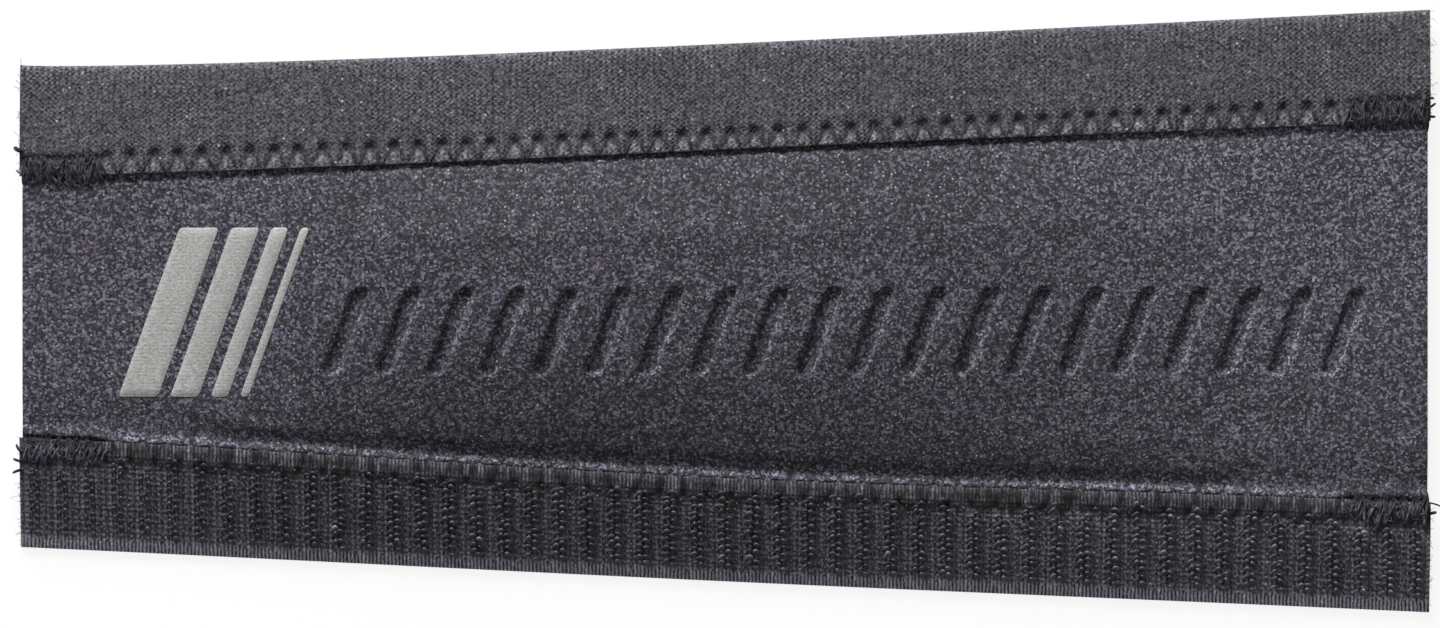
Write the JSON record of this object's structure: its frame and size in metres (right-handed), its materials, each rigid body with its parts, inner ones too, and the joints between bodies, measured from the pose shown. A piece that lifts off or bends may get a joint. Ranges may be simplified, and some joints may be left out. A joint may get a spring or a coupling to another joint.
{
  "type": "chainstay protector",
  "caption": "Tapered neoprene wrap laid open, with a sewn loop tape and hook tape along its long edges, for closing round a bicycle chainstay.",
  "frame": {"origin": "bottom centre of the bounding box, on the surface that the wrap lies on", "axes": "+X along the chainstay towards the wide end, +Y across towards the loop tape, +Z out of the outer face"},
  "size_m": [0.25, 0.1068, 0.0068],
  "materials": {
    "neoprene_jersey": "fine grey-black jersey with small glints",
    "loop_knit": "matte knitted nylon",
    "hook_nylon": "woven nylon with stiff hooks",
    "sewing_thread": "twisted polyester, slight sheen",
    "reflective_film": "silver-grey, fine grained"
  },
  "bodies": {
    "root": {"neoprene_panel": "neoprene_jersey", "loop_tape": "loop_knit", "hook_tape": "hook_nylon", "loop_seam_thread": "sewing_thread", "loop_seam_bobbin_thread": "sewing_thread", "loop_seam_tack_left": "sewing_thread", "loop_seam_tack_right": "sewing_thread", "hook_seam_thread": "sewing_thread", "hook_seam_bobbin_thread": "sewing_thread", "hook_seam_tack_left": "sewing_thread", "hook_seam_tack_right": "sewing_thread", "reflective_bar_1": "reflective_film", "reflective_bar_2": "reflective_film", "reflective_bar_3": "reflective_film", "reflective_bar_4": "reflective_film"}
  },
  "joints": []
}
